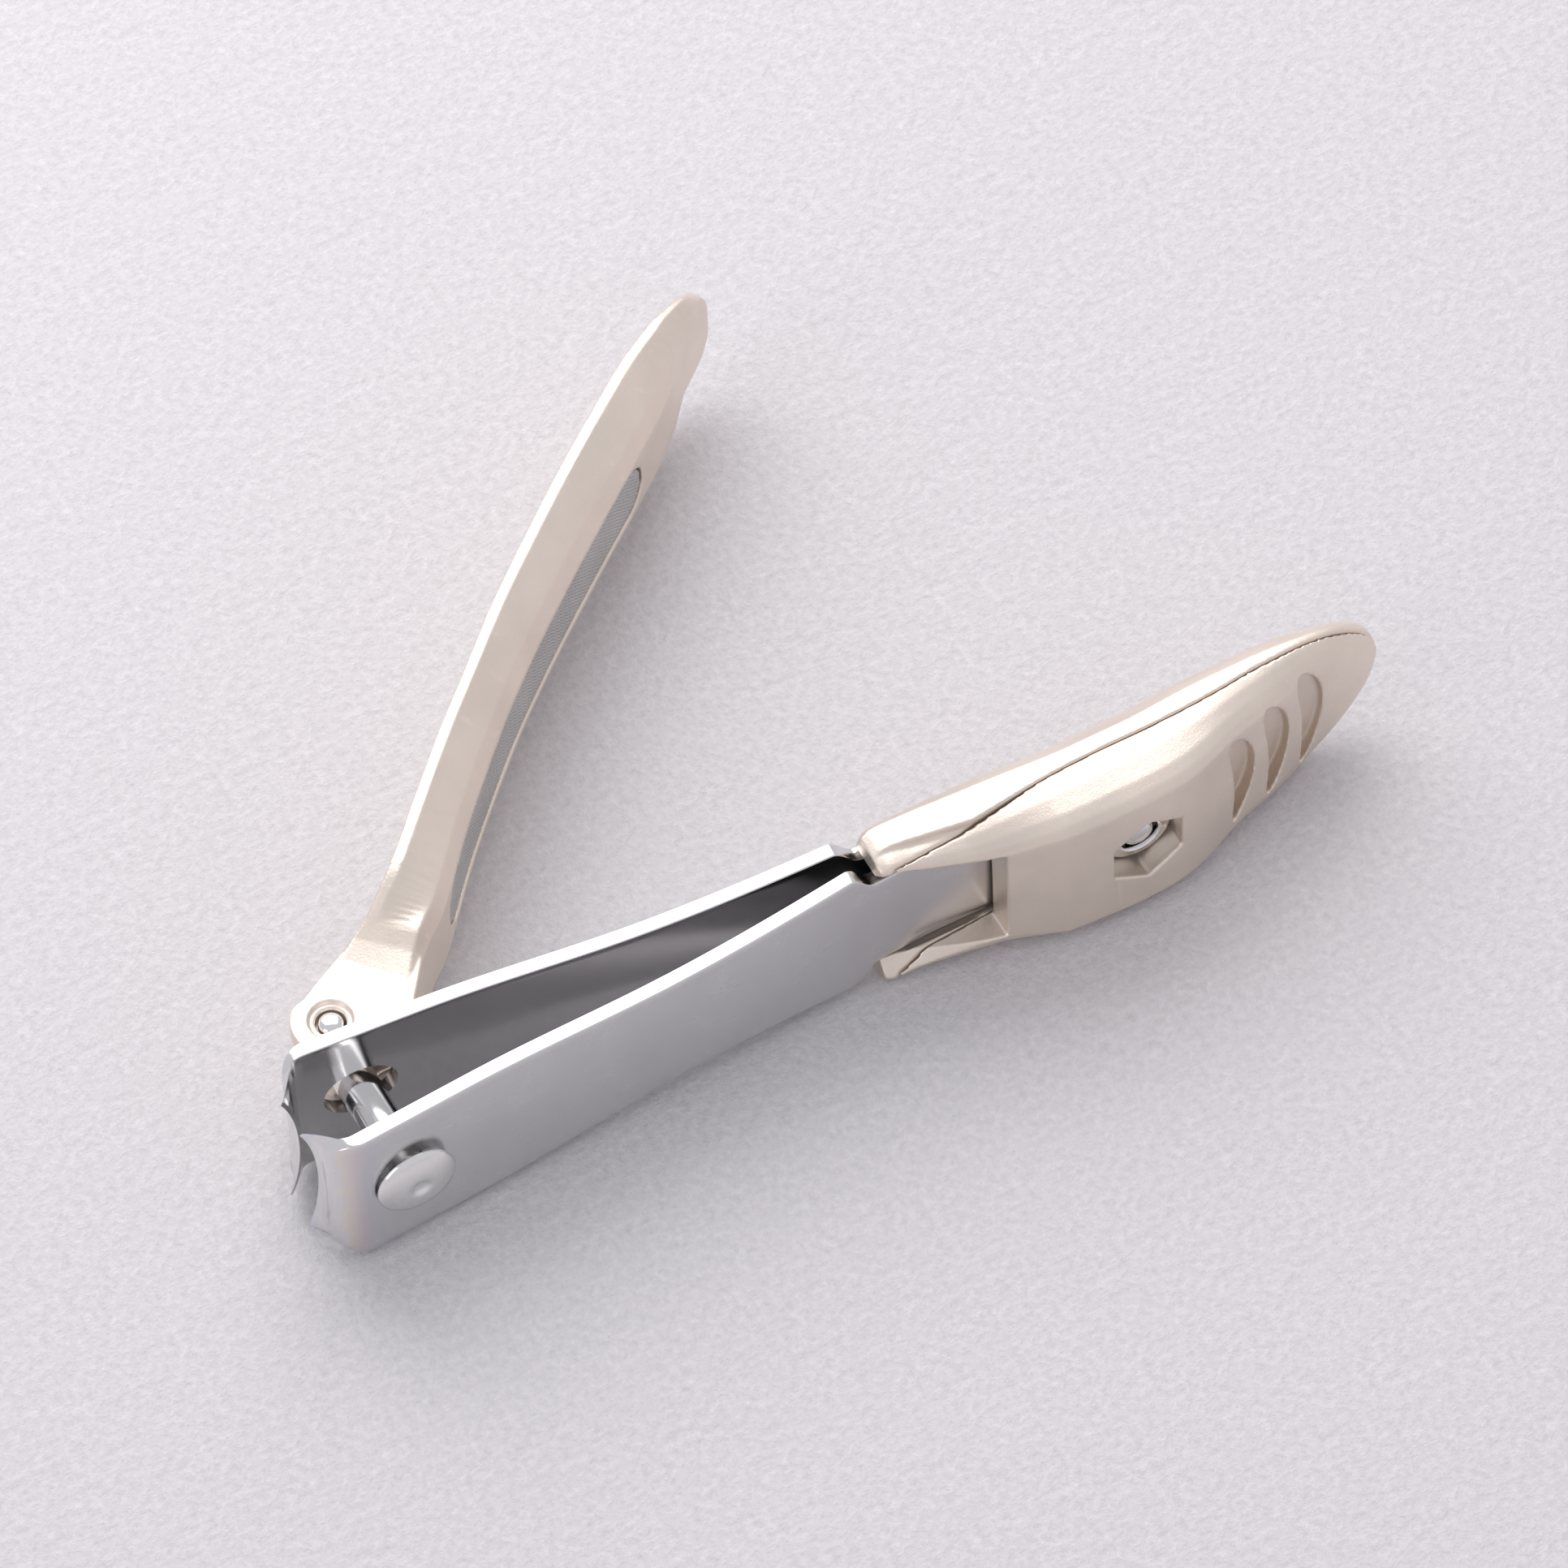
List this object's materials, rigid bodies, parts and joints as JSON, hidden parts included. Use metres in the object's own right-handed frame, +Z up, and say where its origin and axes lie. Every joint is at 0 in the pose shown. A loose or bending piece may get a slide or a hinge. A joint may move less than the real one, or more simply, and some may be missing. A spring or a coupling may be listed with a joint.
{
  "type": "nail clipper",
  "caption": "Nail clipper with sprung blades, cast handle and a raised swivelling lever that carries a nail file.",
  "frame": {"origin": "bottom centre of the bounding box, on the surface that the clipper lies on", "axes": "+X from the jaws to the end of the handle, +Y towards the raised lever, +Z up, across the width of the blades"},
  "size_m": [0.0976, 0.0646, 0.0164],
  "materials": {
    "casting": "satin champagne coating on a fine blasted die casting",
    "blade_steel": "finely polished stainless sheet",
    "fastener_steel": "turned and polished steel",
    "file_steel": "fine diamond-cut file"
  },
  "bodies": {
    "handle": {"handle_upper_shell": "casting", "handle_lower_shell": "casting", "tail_rivet": "fastener_steel", "tail_collar": "fastener_steel"},
    "upper_blade": {"upper_blade": "blade_steel"},
    "lower_blade": {"lower_blade": "blade_steel"},
    "post": {"lever_post": "fastener_steel"},
    "lever": {"lever_arm": "casting", "nail_file": "file_steel", "cross_pin": "fastener_steel"}
  },
  "joints": [
    {"name": "upper_blade_flex", "type": "hinge", "parent": "handle", "child": "upper_blade", "pos_m": [0.01699, -0.02465, 0.0082], "axis": [0, 0, 1], "range_deg": [0, 1.28], "stiffness_Nm_per_rad": 28},
    {"name": "lower_blade_flex", "type": "hinge", "parent": "handle", "child": "lower_blade", "pos_m": [0.01699, -0.02665, 0.0082], "axis": [0, 0, 1], "range_deg": [-1.28, 0], "stiffness_Nm_per_rad": 28},
    {"name": "post_swivel", "type": "hinge", "parent": "lower_blade", "child": "post", "pos_m": [-0.04111, -0.02565, 0.0082], "axis": [0, 1, 0], "range_deg": [-180, 180]},
    {"name": "lever_press", "type": "hinge", "parent": "post", "child": "lever", "pos_m": [-0.04111, -0.0171, 0.0082], "axis": [0, 0, 1], "range_deg": [-36, 0]}
  ],
  "couplings": [
    {"joint": "upper_blade_flex", "follows": "lever_press", "ratio": -0.035556},
    {"joint": "lower_blade_flex", "follows": "lever_press", "ratio": 0.035556}
  ]
}
